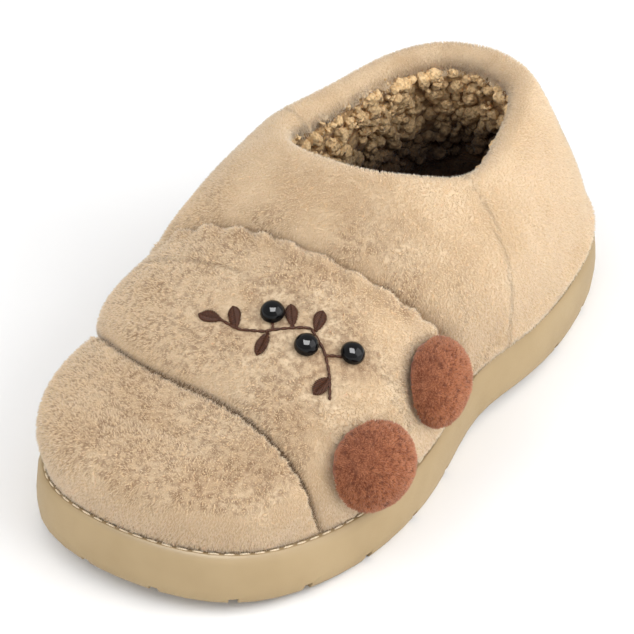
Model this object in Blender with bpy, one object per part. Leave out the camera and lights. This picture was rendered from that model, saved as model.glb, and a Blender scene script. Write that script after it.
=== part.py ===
# Plush house slipper for the left foot, shaped like a small pastry roll.
# A moulded cup sole carries a padded plush upper and a footbed. Two domed fleece pads
# and three beads sit on the outer side of the middle band.
# Metres, +Z up, +X to the toe, +Y to the wearer's left, origin on the floor.

import math

import bmesh
import bpy
import numpy as np
from mathutils import Matrix, Vector

# Sole
sole_length = 0.272
ball_width = 0.123
heel_width = 0.100
sole_height = 0.020
toe_spring = 0.007
arch_rise = 0.003
lip_width = 0.0034
cup_depth = 0.005
notch_depth = 0.0032
notch_width = 0.0034
notch_reach = 0.019
notch_pitch = 0.027

# Upper
collar_height = 0.099
wall = 0.0095
seam_depth = 0.0050
seam_back_fall = 0.0035
seam_front_fall = 0.0095
last_shift = -0.0060

# Footbed, pads and beads
footbed_height = 0.006
footbed_dish = 0.0012
pad_length = 0.0395
pad_width = 0.0280
pad_height = 0.0095
pad_tilt = 42.0
bead_diameter = 0.0090
bead_height = 0.0050
clearance = 0.0003

# The box is centred on the origin, so the heel starts half a length behind it
heel_end = -sole_length / 2

# Sole outline, heel round the outer side to the toe and back on the inner side:
# along is a share of the sole's length, out a share of half the width named by its size
outline_rows = [
    dict(along=0.000, out=0.02, size=heel_width),
    dict(along=0.045, out=0.66, size=heel_width),
    dict(along=0.150, out=0.95, size=heel_width),
    dict(along=0.285, out=1.07, size=heel_width),
    dict(along=0.375, out=1.06, size=heel_width),
    dict(along=0.450, out=0.83, size=ball_width),
    dict(along=0.530, out=0.88, size=ball_width),
    dict(along=0.620, out=0.96, size=ball_width),
    dict(along=0.720, out=0.98, size=ball_width),
    dict(along=0.820, out=0.91, size=ball_width),
    dict(along=0.915, out=0.74, size=ball_width),
    dict(along=0.978, out=0.44, size=ball_width),
    dict(along=1.000, out=-0.04, size=ball_width),
    dict(along=0.975, out=-0.54, size=ball_width),
    dict(along=0.900, out=-0.85, size=ball_width),
    dict(along=0.790, out=-1.00, size=ball_width),
    dict(along=0.680, out=-1.02, size=ball_width),
    dict(along=0.575, out=-0.97, size=ball_width),
    dict(along=0.440, out=-0.90, size=ball_width),
    dict(along=0.310, out=-1.04, size=heel_width),
    dict(along=0.163, out=-0.97, size=heel_width),
    dict(along=0.048, out=-0.63, size=heel_width),
]
toe_row = 12

# Side wall and cup of the sole, from the floor up: inset from the outline and height,
# as shares of lip_width and sole_height
sole_rings = [
    dict(inset=0.45, height=0.00),
    dict(inset=0.06, height=0.10),
    dict(inset=-0.08, height=0.30),
    dict(inset=-0.12, height=0.55),
    dict(inset=-0.02, height=0.82),
    dict(inset=0.16, height=0.95),
    dict(inset=0.42, height=1.00),
    dict(inset=1.00, height=1.00),
]

# Sections of the last that the upper is closed on, from the heel to the toe. outer and inner
# are the shares of the way round the sole where a section leaves it on each side. along is a
# share of the sole's length and height of the collar's height, where it meets the ridge.
# The other columns are shares of the collar's height: lead_along and lead_out bring a section
# to the ridge, swell and rise take it out of the sole, and outer_sweep and inner_sweep carry
# it forwards on each side as it climbs.
section_rows = [
    dict(name="heel_back", outer=0.00, inner=0.00, along=0.215, height=1.22,
         lead_along=-0.19, lead_out=0.00, swell=0.04, rise=0.20, outer_sweep=0.00, inner_sweep=0.00),
    dict(name="heel_turn", outer=0.10, inner=0.10, along=0.215, height=1.22,
         lead_along=-0.14, lead_out=0.15, swell=0.04, rise=0.21, outer_sweep=0.00, inner_sweep=0.00),
    dict(name="heel_side", outer=0.20, inner=0.20, along=0.215, height=1.22,
         lead_along=-0.03, lead_out=0.22, swell=0.06, rise=0.24, outer_sweep=0.00, inner_sweep=0.00),
    dict(name="quarter", outer=0.29, inner=0.31, along=0.275, height=1.20,
         lead_along=0.00, lead_out=0.28, swell=0.10, rise=0.30, outer_sweep=0.02, inner_sweep=0.00),
    dict(name="waist", outer=0.36, inner=0.42, along=0.380, height=1.15,
         lead_along=0.00, lead_out=0.35, swell=0.15, rise=0.36, outer_sweep=0.07, inner_sweep=0.00),
    dict(name="throat", outer=0.41, inner=0.51, along=0.505, height=1.05,
         lead_along=0.00, lead_out=0.37, swell=0.17, rise=0.42, outer_sweep=0.20, inner_sweep=0.02),
    dict(name="seam_back", outer=0.465, inner=0.588, along=0.618, height=0.875,
         lead_along=0.00, lead_out=0.37, swell=0.16, rise=0.43, outer_sweep=0.24, inner_sweep=0.04),
    dict(name="band", outer=0.620, inner=0.635, along=0.725, height=0.765,
         lead_along=0.00, lead_out=0.38, swell=0.13, rise=0.41, outer_sweep=0.12, inner_sweep=0.08),
    dict(name="seam_front", outer=0.772, inner=0.660, along=0.835, height=0.615,
         lead_along=0.00, lead_out=0.38, swell=0.13, rise=0.34, outer_sweep=0.11, inner_sweep=0.05),
    dict(name="toe_top", outer=0.825, inner=0.770, along=0.897, height=0.525,
         lead_along=0.02, lead_out=0.33, swell=0.13, rise=0.29, outer_sweep=0.03, inner_sweep=0.03),
    dict(name="toe_side", outer=0.895, inner=0.875, along=0.897, height=0.525,
         lead_along=0.14, lead_out=0.21, swell=0.12, rise=0.26, outer_sweep=0.00, inner_sweep=0.00),
    dict(name="toe_tip", outer=1.000, inner=1.000, along=0.897, height=0.525,
         lead_along=0.20, lead_out=0.00, swell=0.11, rise=0.24, outer_sweep=0.00, inner_sweep=0.00),
]
seam_names = ("seam_back", "seam_front")

# The collar's line seen from the side, as shares of the sole's length and the collar's height
topline_rows = [
    dict(along=0.05, height=0.865),
    dict(along=0.20, height=0.855),
    dict(along=0.32, height=0.85),
    dict(along=0.41, height=0.895),
    dict(along=0.47, height=0.965),
    dict(along=0.53, height=1.02),
    dict(along=0.60, height=1.12),
]

# Fleece pads and beads on the outer side: station counts the rows of section_rows, climb is
# the share of the way up the section
pad_rows = [
    dict(name="pad_front", station=7.46, climb=0.222, tilt=pad_tilt),
    dict(name="pad_rear", station=6.48, climb=0.235, tilt=pad_tilt),
]
bead_rows = [
    dict(name="bead_1", station=6.92, climb=0.57),
    dict(name="bead_2", station=7.10, climb=0.71),
    dict(name="bead_3", station=6.95, climb=0.86),
]

# Half sections of a pad and of a bead, from the middle of the base out and over to the top:
# shares of the half width and of the height
pad_profile = [(0, 0), (0.5, 0), (0.86, 0), (0.98, 0.16), (1.0, 0.36), (0.94, 0.6), (0.76, 0.84),
               (0.45, 0.97), (0, 1)]
bead_profile = [(0, 0), (0.6, 0), (0.97, 0), (1.0, 0.2), (0.9, 0.55), (0.6, 0.87), (0.3, 0.98),
                (0, 1)]

# Mesh steps
sole_steps = 40
section_steps = 3
climb_steps = 13
rim_steps = 6
pad_steps = 24
bead_steps = 12
seam_step_shares = (0.1, 0.25, 0.55)
throat_step_shares = (0, 0.04, 0.16, 0.36, 0.64)

# Colours as the eye sees them, with roughness
finishes = dict(
    sole=((0.60, 0.49, 0.33), 0.55),
    plush=((0.66, 0.50, 0.32), 0.90),
    lining=((0.45, 0.33, 0.21), 0.95),
    fleece=((0.26, 0.10, 0.06), 0.92),
    bead=((0.01, 0.01, 0.012), 0.12),
)


def smooth_loop(points, steps):
    """A closed smooth curve through the points, with as many steps between each two."""
    count = len(points)
    weights = np.zeros((count, count))
    for i in range(count):
        weights[i, i] = 4
        weights[i, i - 1] = weights[i, (i + 1) % count] = 1
    pull = 3 * (np.roll(points, -1, 0) - np.roll(points, 1, 0))
    slopes = np.linalg.solve(weights, pull)
    t = (np.arange(steps) / steps)[:, None]
    spans = []
    for i in range(count):
        a, b = points[i], points[(i + 1) % count]
        da, db = slopes[i], slopes[(i + 1) % count]
        spans.append(hermite(a, b, da, db, t))
    return np.concatenate(spans)


def hermite(a, b, da, db, t):
    return ((2 * t**3 - 3 * t**2 + 1) * a + (t**3 - 2 * t**2 + t) * da
            + (3 * t**2 - 2 * t**3) * b + (t**3 - t**2) * db)


def outline_curve():
    """The sole's outline as a fine closed loop, and the index of the toe on it."""
    steps = 24
    points = np.array([
        (heel_end + row["along"] * sole_length, row["out"] * row["size"] / 2)
        for row in outline_rows
    ])
    return smooth_loop(points, steps), toe_row * steps


outline, toe_index = outline_curve()


def side_points(side, shares, inset):
    """Points at these shares of the way from the heel to the toe, on one side, moved inwards."""
    ahead, behind = np.roll(outline, -1, 0), np.roll(outline, 1, 0)
    along = ahead - behind
    along /= np.linalg.norm(along, axis=1)[:, None]
    inwards = np.stack([along[:, 1], -along[:, 0]], 1)
    order = np.arange(toe_index + 1)
    if side < 0:
        order = -np.arange(len(outline) - toe_index + 1) % len(outline)
    loop, inwards = outline[order], inwards[order]
    way = np.concatenate([[0], np.cumsum(np.linalg.norm(np.diff(loop, axis=0), axis=1))])
    way /= way[-1]
    moved = loop + inwards * inset
    return np.stack([np.interp(shares, way, moved[:, k]) for k in (0, 1)], 1)


def lift(x):
    """How far the sole's base is above the floor at x: toe spring in front, arch at the waist."""
    front = np.clip((x - 0.225 * sole_length) / (0.275 * sole_length), 0, 1)
    waist = np.clip((x + 0.12 * sole_length) / (0.185 * sole_length), -1, 1)
    return toe_spring * front**2 + arch_rise * np.cos(math.pi / 2 * waist)**2


def ring(inset, height, shares):
    """One closed ring round the sole, outer side first, at a height over its lifted base."""
    outer = side_points(1, shares, inset)
    inner = side_points(-1, shares, inset)[1:-1][::-1]
    loop = np.concatenate([outer, inner])
    return np.column_stack([loop, height + lift(loop[:, 0])])


def spine(shares):
    """The line that the sole's base and deck close on, a point for each point of a ring."""
    outer, inner = side_points(1, shares, 0), side_points(-1, shares, 0)
    middle = (outer + inner) / 2
    first = np.array([heel_end + 0.15 * sole_length, 0.0])
    last = np.array([heel_end + 0.84 * sole_length, last_shift])
    share = np.clip((middle[:, 0] - first[0]) / (last[0] - first[0]), 0, 1)[:, None]
    line = first + (last - first) * share
    return np.concatenate([line, line[1:-1][::-1]])


def closing_rings(edge, height, shares, parts, dish=0.0):
    """Rings from an edge in to the spine, on the lifted base, lowest in the middle by dish."""
    middle = spine(shares)
    rings = []
    for part in parts:
        loop = middle + (edge[:, :2] - middle) * part
        z = height + lift(loop[:, 0]) - dish * (1 - part**2)
        rings.append(np.column_stack([loop, z]))
    return rings


def loft(name, rings, finish, closed=True):
    """A mesh of quads between rings of equal count, its doubles merged."""
    mesh = bmesh.new()
    rows = [[mesh.verts.new(point) for point in loop] for loop in rings]
    count = len(rings[0])
    for low, high in zip(rows, rows[1:]):
        for i in range(count if closed else count - 1):
            j = (i + 1) % count
            mesh.faces.new((low[i], low[j], high[j], high[i]))
    return finish_mesh(name, mesh, finish)


def finish_mesh(name, mesh, finish):
    """Merges doubles, turns the faces out, shades them smooth and makes the object."""
    bmesh.ops.remove_doubles(mesh, verts=mesh.verts, dist=1e-6)
    bmesh.ops.dissolve_degenerate(mesh, edges=mesh.edges, dist=1e-6)
    bmesh.ops.recalc_face_normals(mesh, faces=mesh.faces)
    if mesh.calc_volume(signed=True) < 0:
        bmesh.ops.reverse_faces(mesh, faces=mesh.faces)
    data = bpy.data.meshes.new(name)
    mesh.to_mesh(data)
    mesh.free()
    data.shade_smooth()
    data.set_sharp_from_angle(angle=math.radians(50))
    made = bpy.data.objects.new(name, data)
    made.data.materials.append(material(finish))
    return made


def material(finish):
    name = finish.capitalize()
    if name in bpy.data.materials:
        return bpy.data.materials[name]
    made = bpy.data.materials.new(name)
    made.use_nodes = True
    colour, roughness = finishes[finish]
    shader = made.node_tree.nodes["Principled BSDF"]
    shader.inputs["Base Color"].default_value = (*colour, 1)
    shader.inputs["Roughness"].default_value = roughness
    shader.inputs["Metallic"].default_value = 0
    made.diffuse_color = (*colour, 1)
    return made


def clear_scene():
    for thing in list(bpy.data.objects):
        bpy.data.objects.remove(thing, do_unlink=True)


def collection(name):
    made = bpy.data.collections.new(name)
    bpy.context.scene.collection.children.link(made)
    return made


def notch_cutter():
    """Short grooves across the edge of the tread, at even steps round the sole."""
    mesh = bmesh.new()
    for side in (1, -1):
        fine = np.linspace(0, 1, 400)
        edge = side_points(side, fine, 0)
        length = np.linalg.norm(np.diff(edge, axis=0), axis=1).sum()
        count = round(length / notch_pitch)
        shares = (np.arange(count) + 0.5) / count
        starts = side_points(side, shares, -notch_depth)
        ends = side_points(side, shares, notch_reach)
        for start, end in zip(starts, ends):
            middle = (start + end) / 2
            if 0.28 < (middle[0] - heel_end) / sole_length < 0.50:
                continue
            height = notch_depth + lift(middle[0])
            turn = math.atan2(*(end - start)[::-1])
            box = bmesh.ops.create_cube(mesh, size=1)["verts"]
            bmesh.ops.scale(mesh, verts=box, vec=(
                np.linalg.norm(end - start), notch_width, 2 * height))
            bmesh.ops.rotate(mesh, verts=box, matrix=Matrix.Rotation(turn, 3, "Z"))
            bmesh.ops.translate(mesh, verts=box, vec=(*middle, 0))
    data = bpy.data.meshes.new("notch_cutter")
    mesh.to_mesh(data)
    mesh.free()
    made = bpy.data.objects.new("notch_cutter", data)
    made.hide_render = True
    made.display_type = "WIRE"
    return made


def make_sole():
    """The cup sole: tread, side wall, lip and the deck that the footbed lies on."""
    shares = np.linspace(0, 1, sole_steps + 1)
    rings = [ring(row["inset"] * lip_width, row["height"] * sole_height, shares)
             for row in sole_rings]
    base = closing_rings(rings[0], 0, shares, (0, 0.4, 0.8))
    deck_height = sole_height - cup_depth
    deck_edge = ring(lip_width, deck_height, shares)
    deck = closing_rings(deck_edge, deck_height, shares, (0.7, 0.35, 0))
    return loft("sole", base + rings + [deck_edge] + deck, "sole")


def make_footbed():
    shares = np.linspace(0, 1, sole_steps + 1)
    inset = lip_width + wall + 4 * clearance
    low = sole_height - cup_depth + clearance
    high = low + footbed_height
    round_edge = footbed_height / 5
    edges = [ring(inset + round_edge, low, shares), ring(inset, low + round_edge, shares),
             ring(inset, high - round_edge, shares), ring(inset + round_edge, high, shares)]
    base = closing_rings(edges[0], low, shares, (0, 0.4, 0.8))
    top = closing_rings(edges[-1], high, shares, (0.85, 0.6, 0.3, 0), footbed_dish)
    return loft("footbed", base + edges + top, "lining")


def read_smoothly(knots, values, at):
    """A smooth curve through the values at these knots, level where they turn."""
    knots, values = np.array(knots, float), np.array(values, float)
    gaps = np.diff(knots)
    steps = np.diff(values) / gaps
    slopes = np.concatenate([steps[:1], steps[:-1] / 2 + steps[1:] / 2, steps[-1:]])
    for i in range(1, len(values) - 1):
        if steps[i - 1] * steps[i] <= 0:
            slopes[i] = 0
        else:
            most = 3 * min(abs(steps[i - 1]), abs(steps[i]))
            slopes[i] = np.clip(slopes[i], -most, most)
    span = np.clip(np.searchsorted(knots, at, side="right") - 1, 0, len(knots) - 2)
    gap = gaps[span]
    return hermite(values[span], values[span + 1], slopes[span] * gap,
                   slopes[span + 1] * gap, (at - knots[span]) / gap)


def section_value(key, stations):
    """One column of section_rows at the stations, which count its rows."""
    return read_smoothly(range(len(section_rows)), [row[key] for row in section_rows], stations)


def topline(x):
    """The collar's height over the floor at x."""
    knots = [row["along"] for row in topline_rows]
    heights = [row["height"] for row in topline_rows]
    return collar_height * read_smoothly(knots, heights, (x - heel_end) / sole_length)


def middle_line(x):
    """The last's middle, a little to the inner side of the sole's."""
    return last_shift * np.ones_like(x)


def ridge(stations):
    """Points of the last's ridge at the stations."""
    x = heel_end + section_value("along", stations) * sole_length
    return np.column_stack([x, middle_line(x), section_value("height", stations) * collar_height])


def throat_station():
    """The station where the ridge meets the collar's line."""
    names = [row["name"] for row in section_rows]
    fine = np.linspace(names.index("quarter"), names.index("seam_back"), 2001)
    points = ridge(fine)
    under = points[:, 2] < topline(points[:, 0])
    return fine[np.argmax(under)]


def section_stations():
    """Stations of the upper, closer behind the throat and beside each seam."""
    names = [row["name"] for row in section_rows]
    last = len(names) - 1
    throat = throat_station()
    stations = set(np.linspace(0, last, last * section_steps + 1).round(9))
    seams = [names.index(name) for name in seam_names]
    for at in seams:
        for share in seam_step_shares:
            stations |= {at + share / section_steps, at - share / section_steps}
    opening = {throat - share / section_steps for share in throat_step_shares}
    apart = throat_step_shares[1] / section_steps
    kept = {station for station in stations if abs(station - throat) > apart}
    stations = np.array(sorted(kept | opening))
    return stations, [int(np.argmin(abs(stations - at))) for at in seams], \
        int(np.argmin(abs(stations - throat)))


def smooth_wall(side, stations, throat):
    """The upper's outer form on one side, before its seams: points by station and climb."""
    rounds = section_value("outer" if side > 0 else "inner", stations)
    inset = lip_width + clearance
    foot = side_points(side, rounds, inset)
    out = foot - side_points(side, rounds, inset + lip_width)
    out /= np.linalg.norm(out, axis=1)[:, None]
    base = sole_height + lift(foot[:, 0])
    start = np.column_stack([foot, base + clearance])
    top = ridge(stations)
    swell, rise = section_value("swell", stations), section_value("rise", stations)
    sweep = section_value("outer_sweep" if side > 0 else "inner_sweep", stations)
    first = start + collar_height * np.column_stack([
        out[:, 0] * swell + sweep, out[:, 1] * swell, rise])
    lead = np.column_stack([section_value("lead_along", stations),
                            side * section_value("lead_out", stations), 0 * rise])
    last = top + collar_height * lead
    fine = np.linspace(0, 1, 201)[:, None, None]
    curves = bezier(start, first, last, top, fine)
    over = curves[..., 2] > topline(curves[..., 0])
    ends = np.ones(len(stations))
    for i in range(throat):
        ends[i] = collar_share(curves[:, i], over[:, i])
    climb = np.linspace(0, 1, climb_steps + 1)[:, None, None] * ends[None, :, None]
    cup = np.column_stack([foot, base - cup_depth + clearance])
    return np.concatenate([cup[None], bezier(start, first, last, top, climb)]).transpose(1, 0, 2)


def collar_share(curve, over):
    """The share of a section's curve at which it first rises over the collar's line."""
    at = int(np.argmax(over))
    above = curve[at, 2] - topline(curve[at, 0])
    below = topline(curve[at - 1, 0]) - curve[at - 1, 2]
    return (at - above / (above + below)) / (len(curve) - 1)


def bezier(start, first, last, top, t):
    return ((1 - t)**3 * start + 3 * t * (1 - t)**2 * first
            + 3 * t**2 * (1 - t) * last + t**3 * top)


def seam_relief(points, seams):
    """How far each point lies under the smooth form: a soft valley along each seam."""
    step = np.linalg.norm(np.diff(points, axis=0), axis=2)
    way = np.concatenate([np.zeros((1, points.shape[1])), np.cumsum(step, axis=0)])
    relief = np.zeros(points.shape[:2])
    for at in seams:
        apart = way - way[at]
        fall = np.where(apart < 0, seam_back_fall, seam_front_fall)
        relief += seam_depth * np.exp(-np.abs(apart) / fall)
    grip = np.clip((points[..., 2] - sole_height) / seam_depth / 2, 0, 1)
    return relief * grip


def upper_surface():
    """Outer and inner points of the upper and its normals, stations once round the foot."""
    stations, seams, throat = section_stations()
    sides = {side: smooth_wall(side, stations, throat) for side in (1, -1)}
    relief = np.concatenate([
        seam_relief(sides[1], seams), seam_relief(sides[-1], seams)[1:-1][::-1]])
    smooth = np.concatenate([sides[1], sides[-1][1:-1][::-1]])
    normals = surface_normals(smooth)
    outer = smooth - normals * relief[..., None]
    inner = smooth - normals * wall
    return outer, inner, normals, throat


def surface_normals(points):
    """Outward normals of the lofted wall, shared where its two sides meet along the ridge."""
    count, climbs = points.shape[:2]
    mesh = bmesh.new()
    verts = [mesh.verts.new(point) for point in points.reshape(-1, 3)]
    for i in range(count):
        for k in range(climbs - 1):
            j = (i + 1) % count
            corners = [verts[i * climbs + k], verts[j * climbs + k],
                       verts[j * climbs + k + 1], verts[i * climbs + k + 1]]
            mesh.faces.new(corners)
    mesh.normal_update()
    bucket = {}
    for vert in mesh.verts:
        bucket.setdefault(tuple(round(c, 7) for c in vert.co), []).append(vert)
    normals = np.zeros((count * climbs, 3))
    for i, vert in enumerate(verts):
        total = Vector()
        for other in bucket[tuple(round(c, 7) for c in vert.co)]:
            for face in other.link_faces:
                total += face.normal * face.calc_area()
        normals[i] = total.normalized()
    mesh.free()
    normals = normals.reshape(count, climbs, 3)
    away = points[:, 2, :2] - points[:, 2, :2].mean(0)
    if np.sum(normals[:, 2, :2] * away) < 0:
        normals = -normals
    return normals


def make_upper(outer, inner, normals, throat):
    """One padded shell: outer wall, inner wall, the strip under it and the rolled collar."""
    mesh = bmesh.new()
    count, climbs = outer.shape[:2]
    skins = [[[mesh.verts.new(p) for p in row] for row in skin] for skin in (outer, inner)]
    for i in range(count):
        j = (i + 1) % count
        for k in range(climbs - 1):
            for skin in skins:
                mesh.faces.new((skin[i][k], skin[j][k], skin[j][k + 1], skin[i][k + 1]))
        mesh.faces.new((skins[0][i][0], skins[0][j][0], skins[1][j][0], skins[1][i][0]))
    around = [i for i in range(count) if i <= throat or i >= count - throat]
    around = around[throat + 1:] + around[:throat + 1]
    edge = outer[around, -1]
    ahead = np.gradient(edge, axis=0)
    ahead[0] = ahead[-1] = edge[1] - edge[-2]
    n = normals[around, -1]
    crest = np.cross(ahead, n)
    crest /= np.linalg.norm(crest, axis=1)[:, None]
    if crest[:, 2].mean() < 0:
        crest = -crest
    centre = edge - n * wall / 2
    rows = [[skins[0][i][-1] for i in around]]
    for step in range(1, rim_steps):
        turn = math.pi * step / rim_steps
        arc = centre + wall / 2 * (math.cos(turn) * n + math.sin(turn) * crest)
        rows.append([mesh.verts.new(p) for p in arc])
    rows.append([skins[1][i][-1] for i in around])
    for low, high in zip(rows, rows[1:]):
        for a in range(len(around) - 1):
            mesh.faces.new((low[a], low[a + 1], high[a + 1], high[a]))
    return finish_mesh("upper", mesh, "plush")


def on_wall(skin, stations, at, climb):
    """A point, or a normal, of the outer side's wall between its stations and climbs."""
    column = float(np.interp(at, stations, np.arange(len(stations))))
    i, k = int(column), int(climb)
    u, v = column - i, climb - k
    return ((1 - u) * (1 - v) * skin[i, k] + u * (1 - v) * skin[i + 1, k]
            + (1 - u) * v * skin[i, k + 1] + u * v * skin[i + 1, k + 1])


def make_cap(row, profile, size, steps, finish, outer, normals):
    """A domed cap seated on the outer side of the upper, its base following the wall."""
    length, width, height = size
    tilt = math.radians(row.get("tilt", 0))
    tilted = np.array([[math.cos(tilt), -math.sin(tilt)], [math.sin(tilt), math.cos(tilt)]])
    stations = section_stations()[0]
    at, climb, nudge = row["station"], 1 + row["climb"] * climb_steps, 0.1
    across = on_wall(outer, stations, at, climb + nudge) - on_wall(outer, stations, at, climb - nudge)
    along = on_wall(outer, stations, at + nudge, climb) - on_wall(outer, stations, at - nudge, climb)
    normal = on_wall(normals, stations, at, climb)
    forward = np.cross(across, normal)
    forward *= np.sign(forward[0]) / np.linalg.norm(forward)
    up = np.cross(normal, forward)
    up *= np.sign(up[2]) / np.linalg.norm(up)
    frame = np.array([[along @ forward, across @ forward], [along @ up, across @ up]]) / (2 * nudge)
    centre = on_wall(outer, stations, at, climb)
    plane = np.array([forward, up])
    rings = []
    for out, high in profile:
        loop = []
        for turn in np.arange(steps) / steps * math.tau:
            move = tilted @ (length / 2 * out * math.cos(turn), width / 2 * out * math.sin(turn))
            du, dv = np.linalg.solve(frame, move)
            seat = on_wall(outer, stations, at + du, climb + dv)
            lean = on_wall(normals, stations, at + du, climb + dv)
            on_seat = seat + lean * (1.5 * clearance + height * high)
            level = centre + move @ plane + normal * height * high
            loop.append(on_seat + (level - on_seat) * high / 2)
        rings.append(loop)
    return loft(row["name"], rings, finish)


def centre_on_origin(pieces, follower):
    """Slides the pieces on the floor until their common box is centred on the origin."""
    points = np.concatenate([[vert.co for vert in piece.data.vertices] for piece in pieces])
    middle = (points.min(0) + points.max(0)) / 2
    slide = Matrix.Translation((-middle[0], -middle[1], 0))
    for piece in [*pieces, follower]:
        piece.data.transform(slide)


def build():
    clear_scene()
    parts = collection("plush_slipper")
    cutters = collection("cutters")
    sole = make_sole()
    cutter = notch_cutter()
    cutters.objects.link(cutter)
    cut = sole.modifiers.new("notches", "BOOLEAN")
    cut.object = cutter
    cut.operation = "DIFFERENCE"
    outer, inner, normals, throat = upper_surface()
    pieces = [sole, make_footbed(), make_upper(outer, inner, normals, throat)]
    pad_size = (pad_length, pad_width, pad_height)
    bead_size = (bead_diameter, bead_diameter, bead_height)
    for row in pad_rows:
        pieces.append(make_cap(row, pad_profile, pad_size, pad_steps, "fleece", outer, normals))
    for row in bead_rows:
        pieces.append(make_cap(row, bead_profile, bead_size, bead_steps, "bead", outer, normals))
    centre_on_origin(pieces, cutter)
    for piece in pieces:
        parts.objects.link(piece)


build()
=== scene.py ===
import math

import bmesh
import bpy
import numpy as np
from mathutils import Matrix, Vector, noise
from mathutils.bvhtree import BVHTree
from mathutils.kdtree import KDTree


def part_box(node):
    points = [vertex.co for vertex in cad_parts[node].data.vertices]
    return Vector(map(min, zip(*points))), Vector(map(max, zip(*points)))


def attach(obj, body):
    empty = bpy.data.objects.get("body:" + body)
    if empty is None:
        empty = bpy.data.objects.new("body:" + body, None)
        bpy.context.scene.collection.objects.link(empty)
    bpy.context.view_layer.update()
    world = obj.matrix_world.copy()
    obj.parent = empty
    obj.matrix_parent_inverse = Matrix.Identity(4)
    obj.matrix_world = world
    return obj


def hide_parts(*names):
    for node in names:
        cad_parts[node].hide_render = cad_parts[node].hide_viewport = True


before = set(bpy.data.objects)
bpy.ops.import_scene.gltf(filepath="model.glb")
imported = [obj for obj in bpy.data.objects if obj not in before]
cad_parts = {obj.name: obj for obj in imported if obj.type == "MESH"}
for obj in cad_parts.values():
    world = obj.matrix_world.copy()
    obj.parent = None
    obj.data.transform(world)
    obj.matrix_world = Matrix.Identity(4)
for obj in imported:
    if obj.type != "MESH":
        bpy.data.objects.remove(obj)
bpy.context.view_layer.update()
print("frame loaded")

# Camera at the photograph's angle: its turn and height over the floor, how far it stands from
# the floor point under the photograph's middle, and the square of the photograph that it frames.
view = {"elevation": 35.5, "turn": 124.0, "distance": 1.7, "aim": (-0.0148, -0.1027), "sensor": 36.0,
        "photoPixels": 634, "focalPixels": 2485.5, "middlePixel": (420, 335), "framedPixels": 340}


def placeCamera():
    lens = bpy.data.cameras.new("photoCamera")
    lens.sensor_width = view["sensor"]
    lens.lens = view["focalPixels"] / view["framedPixels"] * view["sensor"]
    lens.clip_end = 20
    camera = bpy.data.objects.new("photoCamera", lens)
    bpy.context.scene.collection.objects.link(camera)
    rise = math.radians(view["elevation"])
    back = (0, -view["distance"] * math.cos(rise), view["distance"] * math.sin(rise))
    right, down = (pixel - view["photoPixels"] / 2 for pixel in view["middlePixel"])
    camera.matrix_world = (Matrix.Translation((*view["aim"], 0))
                           @ Matrix.Rotation(math.radians(view["turn"]), 4, "Z")
                           @ Matrix.Translation(back)
                           @ Matrix.Rotation(math.pi / 2 - rise, 4, "X")
                           @ Matrix.Rotation(-math.atan(right / view["focalPixels"]), 4, "Y")
                           @ Matrix.Rotation(-math.atan(down / view["focalPixels"]), 4, "X"))
    bpy.context.scene.camera = camera


placeCamera()


# Small helpers shared by the pieces

def linear(colour):
    return tuple(c / 12.92 if c <= 0.04045 else ((c + 0.055) / 1.055) ** 2.4 for c in colour)


def addObject(name, mesh):
    made = bpy.data.objects.new(name, mesh)
    bpy.context.scene.collection.objects.link(made)
    return made


def toMesh(name, shape, smooth=True):
    mesh = bpy.data.meshes.new(name)
    shape.to_mesh(mesh)
    shape.free()
    if smooth:
        mesh.shade_smooth()
    return mesh


def cadCopy(name):
    # a merged copy of a CAD node, its triangles joined to quads again
    shape = bmesh.new()
    shape.from_mesh(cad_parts[name].data)
    bmesh.ops.remove_doubles(shape, verts=shape.verts, dist=2e-5)
    bmesh.ops.join_triangles(shape, faces=shape.faces, angle_face_threshold=math.radians(40),
                             angle_shape_threshold=math.radians(60))
    return shape


def baked(made, name):
    # the mesh as its modifiers leave it
    bpy.context.view_layer.update()
    graph = bpy.context.evaluated_depsgraph_get()
    mesh = bpy.data.meshes.new_from_object(made.evaluated_get(graph))
    mesh.name = name
    bpy.data.objects.remove(made)
    return mesh


def subdivided(shape, name, levels):
    made = addObject(name, toMesh(name, shape))
    smooth = made.modifiers.new("smooth", "SUBSURF")
    smooth.levels = smooth.render_levels = levels
    smooth.boundary_smooth = "PRESERVE_CORNERS"
    return baked(made, name)


def points(mesh):
    values = np.empty(len(mesh.vertices) * 3)
    mesh.vertices.foreach_get("co", values)
    return values.reshape(-1, 3)


def normals(mesh):
    values = np.empty(len(mesh.vertices) * 3)
    mesh.vertex_normals.foreach_get("vector", values)
    return values.reshape(-1, 3)


def movePoints(mesh, places):
    mesh.vertices.foreach_set("co", places.ravel())
    mesh.update()


def paint(mesh, name, values):
    values = np.asarray(values, np.float32)
    kind = "FLOAT_VECTOR" if values.ndim == 2 else "FLOAT"
    layer = mesh.attributes.get(name) or mesh.attributes.new(name, kind, "POINT")
    layer.data.foreach_set("vector" if values.ndim == 2 else "value", values.ravel())


def painted(mesh, name):
    values = np.empty(len(mesh.vertices), np.float32)
    mesh.attributes[name].data.foreach_get("value", values)
    return values


def noiseAt(places, scale, offset=(0, 0, 0)):
    shift = Vector(offset)
    return np.array([noise.noise(Vector(p) / scale + shift) for p in places])


def smoothStep(low, high, values):
    share = np.clip((values - low) / (high - low), 0, 1)
    return share * share * (3 - 2 * share)


# How far the sole is off the floor: toe spring in front and an arch at the waist
soleRise = {"spring": 0.007, "springFrom": 0.0612, "springLength": 0.0748, "arch": 0.003,
            "archMiddle": -0.0326, "archHalf": 0.0503}


def lift(x):
    front = min(max((x - soleRise["springFrom"]) / soleRise["springLength"], 0), 1)
    waist = min(max((x - soleRise["archMiddle"]) / soleRise["archHalf"], -1), 1)
    return soleRise["spring"] * front**2 + soleRise["arch"] * math.cos(math.pi / 2 * waist)**2


# Materials

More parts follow.
